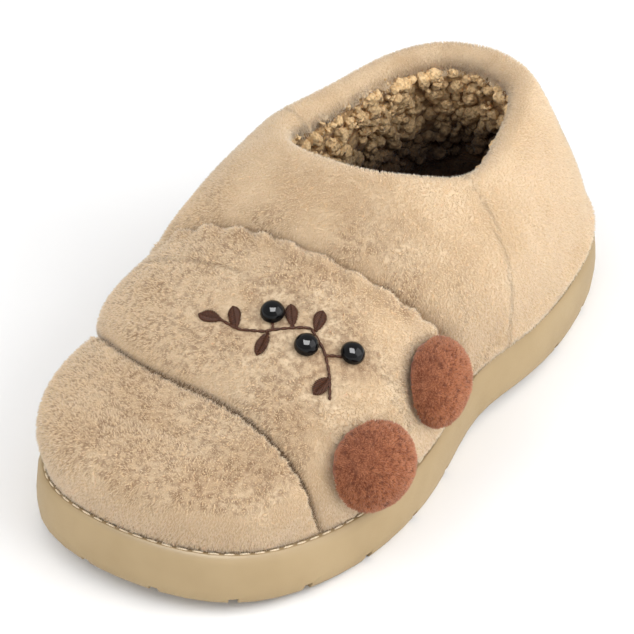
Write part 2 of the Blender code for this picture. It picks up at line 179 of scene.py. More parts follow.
rangeSockets = ("From Min", "From Max", "To Min", "To Max")
glowReach = (1.0, 0.75, 0.5)


class Finish:
    # one material and short ways to add its nodes

    def __init__(self, name, roughness, **sockets):
        self.material = bpy.data.materials.new(name)
        self.material.use_nodes = True
        self.nodes = self.material.node_tree.nodes
        self.links = self.material.node_tree.links
        self.shader = self.nodes["Principled BSDF"]
        self.shader.inputs["Roughness"].default_value = roughness
        for socket, value in sockets.items():
            self.shader.inputs[socket.replace("_", " ")].default_value = value

    def add(self, kind, settings=None, **inputs):
        made = self.nodes.new(kind)
        for key, value in (settings or {}).items():
            setattr(made, key, value)
        for socket, value in inputs.items():
            self.feed(made.inputs[socket.replace("_", " ")], value)
        return made

    def feed(self, socket, value):
        if isinstance(value, bpy.types.NodeSocket):
            self.links.new(value, socket)
        else:
            socket.default_value = value

    def place(self):
        return self.add("ShaderNodeTexCoord").outputs["Object"]

    def grain(self, scale, detail=2.0, roughness=0.5):
        return self.add("ShaderNodeTexNoise", Vector=self.place(), Scale=scale, Detail=detail,
                        Roughness=roughness).outputs["Fac"]

    def spread(self, value, low, high, newLow=0.0, newHigh=1.0):
        made = self.add("ShaderNodeMapRange", {"interpolation_type": "SMOOTHSTEP"}, Value=value)
        for socket, number in zip(rangeSockets, (low, high, newLow, newHigh)):
            made.inputs[socket].default_value = number
        return made.outputs["Result"]

    def sum(self, operation, a, b):
        made = self.add("ShaderNodeMath", {"operation": operation})
        self.feed(made.inputs[0], a)
        self.feed(made.inputs[1], b)
        return made.outputs["Value"]

    def blend(self, share, a, b):
        made = self.add("ShaderNodeMix", {"data_type": "RGBA"})
        self.feed(made.inputs["Factor"], share)
        self.feed(made.inputs["A"], a if isinstance(a, bpy.types.NodeSocket) else (*linear(a), 1))
        self.feed(made.inputs["B"], b if isinstance(b, bpy.types.NodeSocket) else (*linear(b), 1))
        return made.outputs["Result"]

    def attribute(self, name):
        return self.add("ShaderNodeAttribute", {"attribute_name": name}).outputs["Fac"]

    def soften(self, weight, depth):
        # light passes through the pile and evens it out
        self.shader.subsurface_method = "BURLEY"
        self.shader.inputs["Subsurface Weight"].default_value = weight
        self.shader.inputs["Subsurface Radius"].default_value = glowReach
        self.shader.inputs["Subsurface Scale"].default_value = depth

    def colour(self, value):
        self.feed(self.shader.inputs["Base Color"], value)

    def bump(self, height, distance, strength=1.0):
        made = self.add("ShaderNodeBump", Height=height, Distance=distance, Strength=strength)
        self.links.new(made.outputs["Normal"], self.shader.inputs["Normal"])


# hollowShade is painted shade: the pits of the parted pile, tufts and the ground between them, are darkened
# towards it
plushColours = {"hollowShade": (0.40, 0.26, 0.13), "root": (0.755, 0.652, 0.525), "tip": (0.84, 0.753, 0.63),
                "pale": (0.86, 0.776, 0.662), "seam": (0.34, 0.235, 0.14), "patchScale": 46.0,
                "fineScale": 420.0, "sheen": 0.35, "soften": (0.5, 0.0008)}


def plushFinish(name, colours, onHairs):
    finish = Finish(name, 0.95, Sheen_Weight=colours["sheen"], Sheen_Roughness=0.45,
                    Specular_IOR_Level=0.15)
    patches = finish.spread(finish.grain(colours["patchScale"], 3.0, 0.55), 0.35, 0.65)
    if onHairs:
        tip = finish.blend(patches, colours["tip"], colours["pale"])
        body = finish.blend(finish.spread(finish.attribute("tip"), 0.0, 0.75), colours["root"], tip)
        # painted shade in the pits: tufts whose tone dropped where the pile parts are darkened towards
        # hollowShade
        partingAndShade = finish.spread(finish.attribute("tone"), 0.0, 0.65, 0.9, 0.0)
        finish.colour(finish.blend(partingAndShade, body, colours["hollowShade"]))
        finish.soften(*colours["soften"])
    else:
        fine = finish.grain(colours["fineScale"], 2.0, 0.6)
        body = finish.blend(patches, colours["root"], colours["tip"])
        # painted shade in the pits: the ground is darkened towards hollowShade in fine spots where the pile
        # parts
        pits = finish.spread(fine, 0.35, 0.65, 0.6, 0.1)
        pits = finish.sum("MULTIPLY", pits, finish.attribute("rough"))
        body = finish.blend(pits, body, colours["hollowShade"])
        # painted shade in the seam's crease: the ground darkens towards seam along the front seam
        finish.colour(finish.blend(finish.attribute("sewn"), body, colours["seam"]))
        finish.bump(fine, 0.0008, 0.6)
    return finish.material


# dark is painted shade deep in the shoe, strongest below shadeDeepestBelow and gone above shadeClearAbove
liningColours = {"soften": (0.5, 0.0012), "dark": (0.20, 0.11, 0.06), "hollowShade": (0.50, 0.365, 0.225),
                 "curl": (0.83, 0.69, 0.50), "light": (0.93, 0.80, 0.61), "shadeDeepestBelow": 0.038,
                 "shadeClearAbove": 0.064, "knotScale": 240.0, "tinyScale": 768.0, "tinyHeight": 0.7}


def liningFinish(name, onCurls):
    # curly fleece, packed flat, and darker deep in the shoe as painted shade
    finish = Finish(name, 0.95, Sheen_Weight=0.08, Specular_IOR_Level=0.05)
    finish.soften(*liningColours["soften"])
    fine = finish.grain(900.0, 3.0, 0.6)
    knots = finish.add("ShaderNodeTexVoronoi", {"feature": "SMOOTH_F1"}, Vector=finish.place(),
                       Scale=liningColours["knotScale"]).outputs["Distance"]
    if onCurls:
        body = finish.blend(finish.attribute("tone"), liningColours["curl"], liningColours["light"])
    else:
        # painted shade in the hollows between the knots, where the bump sinks
        body = finish.blend(finish.spread(knots, 0.2, 0.7), liningColours["curl"], liningColours["hollowShade"])
    body = finish.blend(finish.spread(fine, 0.3, 0.6, 0.5, 0.0), body, liningColours["hollowShade"])
    # painted shade deep in the shoe: lower down, the fleece darkens towards dark
    place = finish.add("ShaderNodeSeparateXYZ", Vector=finish.place())
    low = finish.spread(place.outputs["Z"], liningColours["shadeDeepestBelow"], liningColours["shadeClearAbove"],
                        0.9, 0.0)
    finish.colour(finish.blend(low, body, liningColours["dark"]))
    tiny = finish.add("ShaderNodeTexVoronoi", {"feature": "SMOOTH_F1"}, Vector=finish.place(),
                      Scale=liningColours["tinyScale"]).outputs["Distance"]
    tiny = finish.sum("MULTIPLY", tiny, -liningColours["tinyHeight"])
    finish.bump(finish.sum("SUBTRACT", tiny, knots), 0.0018, 1.0)
    return finish.material


soleColours = {"body": (0.645, 0.558, 0.415), "low": (0.61, 0.523, 0.38), "tread": (0.50, 0.43, 0.32)}


def soleFinish(name, under):
    finish = Finish(name, 0.5, Specular_IOR_Level=0.35)
    patches = finish.grain(30.0, 3.0, 0.6)
    fine = finish.grain(2600.0, 2.0, 0.7)
    body = finish.blend(finish.spread(patches, 0.3, 0.7), soleColours["body"], soleColours["low"])
    finish.feed(finish.shader.inputs["Roughness"], finish.spread(fine, 0.3, 0.7, 0.48, 0.62))
    if under:
        waves = finish.add("ShaderNodeTexWave", {"wave_type": "BANDS", "bands_direction": "X"},
                           Vector=finish.place(), Scale=34.0, Distortion=6.0, Detail=0.0).outputs["Fac"]
        grooves = finish.spread(waves, 0.35, 0.6)
        finish.colour(finish.blend(grooves, soleColours["tread"], body))
        finish.bump(grooves, 0.0012, 1.0)
    else:
        finish.colour(body)
        finish.bump(fine, 0.00006, 0.6)
    return finish.material


# hollowShade is painted shade in the pits of the fleece, as on the upper
padColours = {"soften": (0.4, 0.0005), "seam": (0.34, 0.17, 0.10), "hollowShade": (0.32, 0.155, 0.09),
              "root": (0.48, 0.27, 0.175), "tip": (0.63, 0.405, 0.285),
              "pale": (0.71, 0.47, 0.335), "patchScale": 260.0, "fineScale": 800.0, "sheen": 0.15}


beadColours = {"dark": (0.015, 0.015, 0.02), "light": (0.05, 0.045, 0.05), "patchScale": 300.0}


def beadFinish():
    finish = Finish("beadGloss", 0.04, Specular_IOR_Level=0.22)
    patches = finish.spread(finish.grain(beadColours["patchScale"]), 0.3, 0.7)
    finish.colour(finish.blend(patches, beadColours["dark"], beadColours["light"]))
    return finish.material


def threadFinish(name, dark, light):
    finish = Finish(name, 0.6, Specular_IOR_Level=0.12)
    ply = finish.grain(2200.0, 2.0, 0.6)
    finish.colour(finish.blend(finish.spread(ply, 0.35, 0.65), dark, light))
    finish.bump(ply, 0.0002, 0.7)
    return finish.material


# Hairs and curls are scattered with Geometry Nodes and made real

seeds = {"tumble": 5, "stray": 7, "spin": 15, "size": 3, "tone": 9}


def scatter(name, surface, shape, settings):
    host = addObject(name + "Host", surface.copy())
    group = bpy.data.node_groups.new(name + "Scatter", "GeometryNodeTree")
    for way in ("INPUT", "OUTPUT"):
        group.interface.new_socket("Geometry", in_out=way, socket_type="NodeSocketGeometry")
    links = group.links

    def add(kind, settings=None, **inputs):
        made = group.nodes.new(kind)
        for key, value in (settings or {}).items():
            setattr(made, key, value)
        for socket, value in inputs.items():
            feed(made, socket.replace("_", " "), value)
        return made

    def feed(made, socket, value):
        socket = made.inputs[socket]
        if isinstance(value, bpy.types.NodeSocket):
            links.new(value, socket)
        else:
            socket.default_value = value

    def plus(a, b):
        made = add("ShaderNodeVectorMath", {"operation": "ADD"})
        feed(made, 0, a)
        feed(made, 1, b)
        return made.outputs["Vector"]

    def scaled(a, scale):
        made = add("ShaderNodeVectorMath", {"operation": "SCALE"}, Scale=scale)
        feed(made, 0, a)
        return made.outputs["Vector"]

    def maths(operation, a, b):
        made = add("ShaderNodeMath", {"operation": operation})
        feed(made, 0, a)
        feed(made, 1, b)
        return made.outputs["Value"]

    def multiply(a, b):
        return maths("MULTIPLY", a, b)

    def subtract(a, b):
        return maths("SUBTRACT", a, b)

    def reading(attribute, kind="FLOAT"):
        made = add("GeometryNodeInputNamedAttribute", {"data_type": kind}, Name=attribute)
        return next(o for o in made.outputs if o.enabled and o.name == "Attribute")

    def chance(low, high, seed, kind="FLOAT"):
        made = add("FunctionNodeRandomValue", {"data_type": kind}, Seed=seeds[seed])
        ends = [s for s in made.inputs if s.enabled and s.name in ("Min", "Max")]
        ends[0].default_value, ends[1].default_value = low, high
        return next(o for o in made.outputs if o.enabled)

    def anyTurn(most, seed):
        turned = add("FunctionNodeEulerToRotation", Euler=chance((0, 0, 0), most, seed, "FLOAT_VECTOR"))
        return turned.outputs["Rotation"]

    source = add("NodeGroupInput")
    spots = add("GeometryNodeDistributePointsOnFaces", {"distribute_method": "RANDOM"},
                Mesh=source.outputs[0], Seed=settings["seed"])
    feed(spots, "Density", multiply(reading("napCover"), settings["perSquareMetre"]))
    if settings["tumbled"]:
        rotation = anyTurn((math.tau,) * 3, "tumble")
    else:
        stray = scaled(chance((-1, -1, -1), (1, 1, 1), "stray", "FLOAT_VECTOR"), settings["stray"])
        lean = plus(spots.outputs["Normal"], reading("comb", "FLOAT_VECTOR"))
        aim = add("FunctionNodeAlignRotationToVector", {"axis": "Z"}, Vector=plus(lean, stray))
        spun = add("FunctionNodeRotateRotation", {"rotation_space": "LOCAL"},
                   Rotation=aim.outputs["Rotation"], Rotate_By=anyTurn((0, 0, math.tau), "spin"))
        rotation = spun.outputs["Rotation"]
    info = add("GeometryNodeObjectInfo")
    info.inputs["Object"].default_value = shape
    planted = add("GeometryNodeInstanceOnPoints", Points=spots.outputs["Points"],
                  Instance=info.outputs["Geometry"], Rotation=rotation)
    # where the pile parts, its tufts are shorter, and their tone drops so that the pile finish darkens them
    # as painted shade in the pits
    where = add("GeometryNodeInputPosition").outputs["Position"]
    clumps = add("ShaderNodeTexNoise", Vector=where, Scale=settings["partScale"], Detail=1.0)
    partingAndShade = add("ShaderNodeMapRange", Value=clumps.outputs["Fac"])
    for socket, value in zip(rangeSockets, (*settings["partFrom"], 1.0, 0.0)):
        partingAndShade.inputs[socket].default_value = value
    lack = multiply(partingAndShade.outputs["Result"], reading("rough"))
    size = multiply(chance(*settings["sizes"], "size"), reading("napLength"))
    size = multiply(size, subtract(1.0, multiply(lack, settings["partDepth"])))
    links.new(size, planted.inputs["Scale"])
    # a random tone, lowered where the pile parts; the finishes darken tufts of low tone, which where the pile
    # parts is painted pit shade
    tone = multiply(chance(0.6, 1.0, "tone"), subtract(1.0, lack))
    toned = add("GeometryNodeStoreNamedAttribute", {"data_type": "FLOAT", "domain": "INSTANCE"},
                Geometry=planted.outputs["Instances"], Name="tone")
    links.new(tone, next(s for s in toned.inputs if s.enabled and s.name == "Value"))
    real = add("GeometryNodeRealizeInstances", Geometry=toned.outputs["Geometry"])
    links.new(real.outputs["Geometry"], add("NodeGroupOutput").inputs[0])

    modifier = host.modifiers.new("scatter", "NODES")
    modifier.node_group = group
    mesh = baked(host, name)
    bpy.data.node_groups.remove(group)
    made = addObject(name, mesh)
    print(name, len(mesh.polygons), "faces")
    return made


hairSides = 3
hairRise = 0.38
mergeWithin = 1e-7


def hairShape(name, length, width, finish):
    # one tuft: a thin spike whose root sits under the cloth
    shape = bmesh.new()
    bmesh.ops.create_cone(shape, cap_ends=False, segments=hairSides, radius1=width / 2, radius2=0.0,
                          depth=length)
    bmesh.ops.remove_doubles(shape, verts=shape.verts, dist=mergeWithin)
    bmesh.ops.translate(shape, verts=shape.verts, vec=(0, 0, length * hairRise))
    bmesh.ops.recalc_face_normals(shape, faces=shape.faces)
    mesh = toMesh(name, shape)
    z = points(mesh)[:, 2]
    paint(mesh, "tip", (z - z.min()) / (z.max() - z.min()))
    mesh.materials.append(finish)
    return addObject(name, mesh)


def knotShape(name, radius, lumps, lumpScale, finish):
    # one knot of curly fleece: a lumpy ball
    shape = bmesh.new()
    bmesh.ops.create_icosphere(shape, subdivisions=2, radius=radius)
    for vert in shape.verts:
        vert.co *= 1 + lumps * noise.noise(vert.co / (radius * lumpScale) + Vector((4, 1, 3)))
    mesh = toMesh(name, shape)
    mesh.materials.append(finish)
    return addObject(name, mesh)


def curlShape(name, radius, thickness, turn, steps, finish):
    # one curl of fleece: a short open coil
    shape = bmesh.new()
    made = bmesh.ops.create_circle(shape, cap_ends=True, segments=5, radius=thickness / 2)
    bmesh.ops.rotate(shape, verts=made["verts"], matrix=Matrix.Rotation(math.pi / 2, 3, "X"))
    bmesh.ops.translate(shape, verts=made["verts"], vec=(radius, 0, 0))
    bmesh.ops.spin(shape, geom=shape.verts[:] + shape.edges[:] + shape.faces[:], cent=(0, 0, 0),
                   axis=(0, 0, 1), dvec=(0, 0, thickness * 0.9 / steps), angle=turn, steps=steps)
    bmesh.ops.remove_doubles(shape, verts=shape.verts, dist=mergeWithin)
    bmesh.ops.recalc_face_normals(shape, faces=shape.faces)
    mesh = toMesh(name, shape)
    mesh.materials.append(finish)
    return addObject(name, mesh)


# Embroidered sprig on the band: a stem that winds past the beads, with satin-stitched leaves.
# Its places are over the floor, and each stitch is later laid on the cloth below.

beadNumbers = (1, 2, 3)
sprig = {"stem": ((0.0730, 0.0385), (0.0665, 0.0345), (0.0605, 0.0285), (0.0565, 0.0205), (0.0610, 0.0145),
                  (0.0665, 0.0075), (0.0690, -0.0005), (0.0680, -0.0080)),
         "leaves": (((0.0665, 0.0345), (0.90, -0.10)), ((0.0568, 0.0225), (-0.90, -0.25)),
                    ((0.0600, 0.0155), (-0.80, -0.60)), ((0.0655, 0.0095), (0.95, 0.10)),
                    ((0.0690, -0.0010), (-0.75, -0.65)), ((0.0680, -0.0075), (0.10, -1.0))),
         "leafLength": 0.0088, "leafWidth": 0.0042, "leafFull": 0.8, "slant": 0.7, "threads": 13,
         "threadWidth": 0.00070, "threadHeight": 0.0010, "stitch": 0.0026, "overlap": 1.25,
         "stemWidth": 0.0011, "lie": 0.0005, "dropFrom": 0.2, "dark": (0.20, 0.10, 0.045),
         "light": (0.33, 0.18, 0.09)}

# How the stitches and beads hold the cloth down, and from where on the slipper that counts
press = {"depth": 0.0006, "step": 0.001, "reach": 0.0022, "beadReach": 0.0062, "beadFull": 0.7,
         "above": 0.052, "aheadOf": 0.04}


def beadCentre(number):
    return np.mean(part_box(f"bead_{number}"), axis=0)


def sprigLines():
    # the stem, the three stalks and the middle of each leaf, as rows of places over the floor
    stem = np.array(sprig["stem"])
    fine = evenly(stem, press["step"])
    lines = [stem]
    for number in beadNumbers:
        bead = beadCentre(number)[:2]
        lines.append(np.array([fine[np.argmin(np.linalg.norm(fine - bead, axis=1))], bead]))
    for start, way in sprig["leaves"]:
        way = np.array(way) / np.linalg.norm(way)
        lines.append(np.array([start, np.array(start) + way * sprig["leafLength"]]))
    return lines


def evenly(line, step):
    # places at even steps along a line
    way = np.concatenate([[0], np.cumsum(np.linalg.norm(np.diff(line, axis=0), axis=1))])
    count = max(round(way[-1] / step), 1)
    at = (np.arange(count) + 0.5) / count * way[-1]
    return np.stack([np.interp(at, way, values) for values in line.T], axis=1)


def nearest(places, marks):
    # the mark nearest to each place, and how far off it is
    tree = KDTree(len(marks))
    for i, mark in enumerate(marks):
        tree.insert(mark, i)
    tree.balance()
    found = [tree.find(place)[1:] for place in places]
    return np.array([f[0] for f in found]), np.array([f[1] for f in found])


def hill(apart, reach):
    # one at no distance and none beyond about twice the reach
    return np.exp(-(apart / reach) ** 2)


# Upper: the CAD shell made soft, with its seams drawn in and its two faces finished apart

upper = {"levels": 2, "axis": ((-0.085, -0.002, 0.034), (0.085, -0.006, 0.034)), "inside": (0.35, 0.65),
         "rimAbove": 0.06, "roll": (0.0045, 0.0075), "swell": 0.0007, "swellScale": 0.034,
         "clump": 0.00008, "clumpScale": 0.0055}
seams = {"bend": 40.0, "crease": 0.8, "step": 0.0008, "reach": 0.0014, "centre": (-0.006, 0.012),
         "waver": 2.2, "waverScale": 0.02}

# Behind the ball of the foot the cloth sags over the lip of the sole, and short pile stands along it
lip = {"height": 0.020, "clear": (0.0005, 0.0035), "sag": 0.0024, "sagAt": 0.0055, "sagReach": 0.0045,
       "sagFront": 0.045, "sagFade": 0.015, "pileOver": 0.0015, "fringe": 0.3, "fringeReach": 0.0030}

# The lining's curls and its long upright folds, from a little over the footbed
lining = {"curl": 0.0026, "curlScale": 0.0080, "curlSteep": 1.5, "fold": 0.0028, "foldScale": 0.011,
          "foldStretch": 0.22, "clear": (0.024, 0.032)}

# How far the pile thins and shortens in the seams and under the sprig, and the way it lies
pileLay = {"thinPressed": 0.75, "thinSewn": 0.7, "shortPressed": 0.6, "shortSewn": 0.25, "along": 0.3,
           "down": 0.5, "stray": 0.15, "strayScale": 0.016}

# Where the pile parts, with painted shade in its pits: blotches on the top of the toe and band, and others
# just behind the band
parting = {"least": 0.03, "blotchScale": 0.020, "facing": (0.25, 0.85), "inwards": 0.45, "blotch": 0.9,
           "toe": (0.085, 0.120), "onToe": 0.35, "ahead": (0.012, 0.042), "behindReach": 0.022,
           "behindUpTo": 0.035, "behindSlope": 0.3, "behindFacing": (-0.5, 0.1), "behindBlotch": 1.2,
           "behindInwards": 8.0}

# Puckers beside each seam, on the side towards the toe: how high, how far out and how far apart
# shade is how much painted shade darkens the ground in the seam's crease
puckers = {"back": {"height": 0.0030, "at": 0.0031, "reach": 0.0030, "pitch": 0.0112, "flat": 0.6,
                    "shade": 0.0, "pull": 0.0004},
           "front": {"height": 0.0010, "at": 0.0026, "reach": 0.0024, "pitch": 0.0060, "flat": 0.4,
                     "shade": 0.8, "pull": 0.0010}}

# Soft creases, one by one: start, end, half width and depth
creaseFade = 0.6
creases = (
    {"from": (-0.042, 0.041, 0.074), "to": (-0.057, 0.048, 0.050), "reach": 0.0036, "depth": 0.0012},
    {"from": (-0.060, 0.044, 0.068), "to": (-0.069, 0.047, 0.046), "reach": 0.0040, "depth": 0.0009},
    {"from": (-0.022, 0.040, 0.078), "to": (-0.034, 0.049, 0.052), "reach": 0.0050, "depth": 0.0007},
    {"from": (-0.045, -0.046, 0.070), "to": (-0.030, -0.054, 0.046), "reach": 0.0045, "depth": 0.0010},
    {"from": (-0.066, -0.044, 0.066), "to": (-0.056, -0.052, 0.042), "reach": 0.0040, "depth": 0.0008},
    {"from": (-0.112, 0.020, 0.060), "to": (-0.120, 0.008, 0.042), "reach": 0.0040, "depth": 0.0008},
)


def isInside(face):
    # a face of the inner wall looks towards the middle of the foot
    centre = face.calc_center_median()
    start, end = (Vector(point) for point in upper["axis"])
    share = min(max((centre - start).dot(end - start) / (end - start).length_squared, 0), 1)
    return face.normal.dot(centre - start.lerp(end, share)) < 0


def seamChains(edges):
    # the two chains of folded edges that cross the foot from side to side, the back one first
    edges, chains = set(edges), []
    while edges:
        chain = [edges.pop()]
        for edge in chain:
            near = {other for vert in edge.verts for other in vert.link_edges if other in edges}
            edges -= near
            chain += near
        chains.append(chain)
    across = [np.ptp([vert.co.y for edge in chain for vert in edge.verts]) for chain in chains]
    widest = sorted(np.argsort(across)[-2:], key=lambda i: np.mean([e.verts[0].co.x for e in chains[i]]))
    return [chains[i] for i in widest]


def seamLine(chain):
    # a seam's points in order over the foot, from the inner side to the outer side
    places = {tuple(vert.co) for edge in chain for vert in edge.verts}
    y, z = seams["centre"]
    return np.array(sorted(places, key=lambda p: math.atan2(p[1] - y, p[2] - z)))


def markCage(cage):
    # marks the inner wall and the seams' creases, and gives the collar's rim and each seam as a line
    inside = cage.verts.layers.float.new("inside")
    crease = cage.edges.layers.float.new("crease_edge")
    for face in cage.faces:
        face.tag = isInside(face)
    for vert in cage.verts:
        vert[inside] = sum(face.tag for face in vert.link_faces) / len(vert.link_faces)
    rim = [vert.co.copy() for vert in cage.verts if 0 < vert[inside] < 1 and vert.co.z > upper["rimAbove"]]
    folded = [edge for edge in cage.edges
              if len(edge.link_faces) == 2 and not any(face.tag for face in edge.link_faces)
              and edge.calc_face_angle_signed() < -math.radians(seams["bend"])]
    lines = {}
    for name, chain in zip(("back", "front"), seamChains(folded)):
        for edge in chain:
            edge[crease] = seams["crease"]
        lines[name] = evenly(seamLine(chain), seams["step"])
    return rim, lines


def clothHeight(places, lines, overLip, marked):
    # how far the outer cloth moves out, and how near each place is to a seam
    height = upper["swell"] * noiseAt(places, upper["swellScale"])
    height += upper["clump"] * noiseAt(places, upper["clumpScale"], (5, 1, 2))
    sewn, shade = np.zeros(len(places)), np.zeros(len(places))
    for name, line in lines.items():
        pull, lump = seamRelief(places, line, puckers[name])
        height += lump - puckers[name]["pull"] * pull
        sewn = np.maximum(sewn, pull)
        shade = np.maximum(shade, pull ** 3 * puckers[name]["shade"])
    for fold in creases:
        height -= fold["depth"] * lineNearness(places, fold)
    height -= press["depth"] * marked
    behind = 1 - smoothStep(-lip["sagFade"], lip["sagFade"], places[:, 0] - lip["sagFront"])
    height += lip["sag"] * hill(overLip - lip["sagAt"], lip["sagReach"]) * behind
    return height * smoothStep(*lip["clear"], overLip), sewn, shade


def liningHeight(places):
    cells = np.array([noise.voronoi(Vector(p) / lining["curlScale"])[0][0] for p in places])
    height = lining["curl"] * (1 - np.clip(cells, 0, 1) ** lining["curlSteep"])
    height += lining["fold"] * noiseAt(places * (1, 1, lining["foldStretch"]), lining["foldScale"], (3, 9, 2))
    return height * smoothStep(*lining["clear"], places[:, 2])


def makeUpper():
    cage = cadCopy("upper")
    cage.normal_update()
    rim, lines = markCage(cage)
    mesh = subdivided(cage, "plushUpper", upper["levels"])
    places, out = points(mesh), normals(mesh)
    within = painted(mesh, "inside") * (1 - onRim(places, rim))
    soft = 1 - smoothStep(*upper["inside"], within)
    lipTop = lip["height"] + np.array([lift(x) for x in places[:, 0]])
    marked = pressedBySprig(places)
    height, sewn, shade = clothHeight(places, lines, places[:, 2] - lipTop, marked)
    places = places + out * (height * soft + liningHeight(places) * (1 - soft))[:, None]
    movePoints(mesh, places)
    overLip = places[:, 2] - lipTop
    fringe = lip["fringe"] * hill(overLip - lip["pileOver"], lip["fringeReach"])
    paint(mesh, "within", within)
    # sewn carries the painted shade of the front seam's crease
    paint(mesh, "sewn", shade)
    paint(mesh, "napCover", soft * smoothStep(0, lip["pileOver"], overLip)
          * (1 - pileLay["thinPressed"] * marked) * (1 - pileLay["thinSewn"] * shade))
    paint(mesh, "napLength",
          (1 - pileLay["shortSewn"] * sewn) * (1 - pileLay["shortPressed"] * marked) + fringe)
    paint(mesh, "rough", roughness(places, out, lines["back"]))
    paint(mesh, "comb", combing(places, out))
    mesh.materials.append(plushFinish("plushGround", plushColours, False))
    mesh.materials.append(liningFinish("liningGround", False))
    faceInside = np.array([within[list(face.vertices)].mean() > 0.5 for face in mesh.polygons])
    mesh.polygons.foreach_set("material_index", faceInside.astype(int))
    made = addObject("plushUpper", mesh)
    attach(made, "root")
    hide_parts("upper")
    return made


def onRim(places, rim):
    # one on the rolled edge of the collar, none further down inside
    return 1 - smoothStep(*upper["roll"], nearest(places, rim)[1])


def seamRelief(places, line, pucker):
    # how near each point is to the seam, and how far the puckers beside it rise
    step = np.linalg.norm(np.diff(line, axis=0), axis=1).mean()
    index, apart = nearest(places, line)
    ahead = places[:, 0] > line[index, 0]
    waver = seams["waver"] * noiseAt(line, seams["waverScale"])[index]
    wave = pucker["flat"] + (1 - pucker["flat"]) * np.cos(math.tau * index * step / pucker["pitch"] + waver)
    lump = pucker["height"] * wave * hill(apart - pucker["at"], pucker["reach"]) * ahead
    return hill(apart, seams["reach"]), lump


def lineNearness(places, fold):
    # one along the middle of a crease, less at its ends
    start, end = np.array(fold["from"]), np.array(fold["to"])
    share = np.clip((places - start) @ (end - start) / np.sum((end - start) ** 2), 0, 1)
    apart = np.linalg.norm(places - start - share[:, None] * (end - start), axis=1)
    return (1 - np.abs(2 * share - 1) ** 2 * creaseFade) * hill(apart, fold["reach"])


def pressedBySprig(places):
    # where the stitches and beads hold the cloth down
    flat = places * (1, 1, 0)
    marks = [(*place, 0) for line in sprigLines() for place in evenly(line, press["step"])]
    beads = [beadCentre(number) * (1, 1, 0) for number in beadNumbers]
    stitched = hill(nearest(flat, marks)[1], press["reach"])
    beaded = hill(nearest(flat, beads)[1], press["beadReach"]) ** press["beadFull"]
    onBand = (places[:, 2] > press["above"]) * (places[:, 0] > press["aheadOf"])
    return np.maximum(stitched, beaded) * onBand


def roughness(places, out, backSeam):
    # one where the pile parts and its pits get painted shade, near none where it is smooth
    blotches = noiseAt(places, parting["blotchScale"], (4, 2, 6))
    onToe = parting["onToe"] * smoothStep(*parting["toe"], places[:, 0])
    facing = out[:, 2] - parting["inwards"] * out[:, 1] + parting["blotch"] * blotches + onToe
    onTop = smoothStep(*parting["facing"], facing) * smoothStep(*parting["ahead"], places[:, 0])
    behind = hill(nearest(places, backSeam)[1], parting["behindReach"])
    behind = behind * (places[:, 0] < parting["behindUpTo"] + parting["behindSlope"] * places[:, 1])
    spots = parting["behindBlotch"] * blotches - parting["behindInwards"] * places[:, 1]
    behind = behind * smoothStep(*parting["behindFacing"], spots)
    return np.clip(parting["least"] + (1 - parting["least"]) * np.maximum(onTop, behind), 0, 1)


def combing(places, out):
    # the way the pile lies: down and forwards over the cloth, with swirls
    way = np.tile([pileLay["along"], 0.0, -pileLay["down"]], (len(places), 1))
    for axis in range(3):
        way[:, axis] += pileLay["stray"] * noiseAt(places, pileLay["strayScale"], (axis * 7, 3, 1))
    return way - out * np.sum(way * out, axis=1)[:, None]


plushUpper = makeUpper()
print("upper", len(plushUpper.data.polygons), "faces")


# Nap of the upper, in three pieces so that each stays light

nap = {"length": 0.0015, "width": 0.00050, "perSquareMetre": 3.2e6, "stray": 0.45, "sizes": (0.8, 1.1),
       "splits": (-1.0, -0.028, 0.050, 1.0), "names": ("napRear", "napMiddle", "napFront"), "seed": 11,
       "tumbled": False, "partScale": 950.0, "partFrom": (0.37, 0.48), "partDepth": 0.85}


def makeNap():
    finish = plushFinish("plushPile", plushColours, True)
    hair = hairShape("plushHair", nap["length"], nap["width"], finish)
    source = plushUpper.data.copy()
    cover, x = painted(source, "napCover"), points(source)[:, 0]
    for name, low, high in zip(nap["names"], nap["splits"], nap["splits"][1:]):
        paint(source, "napCover", cover * ((x >= low) & (x < high)))
        made = scatter(name, source, hair, nap)
        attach(made, "root")
    bpy.data.objects.remove(hair)


makeNap()


# Curly lining: small coils of fleece on the inner wall, thickest near the collar

fleece = {"tumbled": True, "partScale": 100.0, "partFrom": (0.3, 0.6), "partDepth": 0.0}
curls = {"radius": 0.00125, "thickness": 0.00145, "turn": 4.4, "steps": 5, "perSquareMetre": 3.0e4,
         "sizes": (0.7, 1.3), "seed": 21, "within": (0.35, 0.6), "front": 0.040, "low": 0.034, **fleece}
knots = {"radius": 0.0024, "lumps": 0.45, "lumpScale": 0.9, "perSquareMetre": 7.5e4,
         "sizes": (0.5, 1.35), "seed": 41, **fleece}


def makeCurls():
    finish = liningFinish("liningCurl", True)
    curl = curlShape("fleeceCurl", curls["radius"], curls["thickness"], curls["turn"], curls["steps"],
                     finish)
    knot = knotShape("fleeceKnot", knots["radius"], knots["lumps"], knots["lumpScale"], finish)
    source = plushUpper.data.copy()
    within, places = painted(source, "within"), points(source)
    back = (places[:, 0] < curls["front"]) * (places[:, 2] > curls["low"])
    paint(source, "napCover", smoothStep(*curls["within"], within) * back)
    paint(source, "napLength", np.ones(len(places)))
    for name, shape, settings in (("liningCurls", curl, curls), ("liningKnots", knot, knots)):
        made = scatter(name, source, shape, settings)
        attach(made, "root")
        bpy.data.objects.remove(shape)


makeCurls()
print("nap and lining done")


# Fleece pads on the outer side

padNap = {"length": 0.0014, "width": 0.00052, "perSquareMetre": 7.0e6, "stray": 0.6, "sizes": (0.6, 1.1),
          "seed": 31, "tumbled": False, "partScale": 650.0, "partFrom": (0.36, 0.48), "partDepth": 0.5}
pads = {"nodes": (("pad_front", "padFront"), ("pad_rear", "padRear")), "levels": 2, "grain": 0.00040,
        "grainScale": 0.0026, "puff": 0.0008, "puffFacing": (-0.5, 0.1), "comb": 0.6, "pileFacing": -0.2,
        "rough": 0.8}


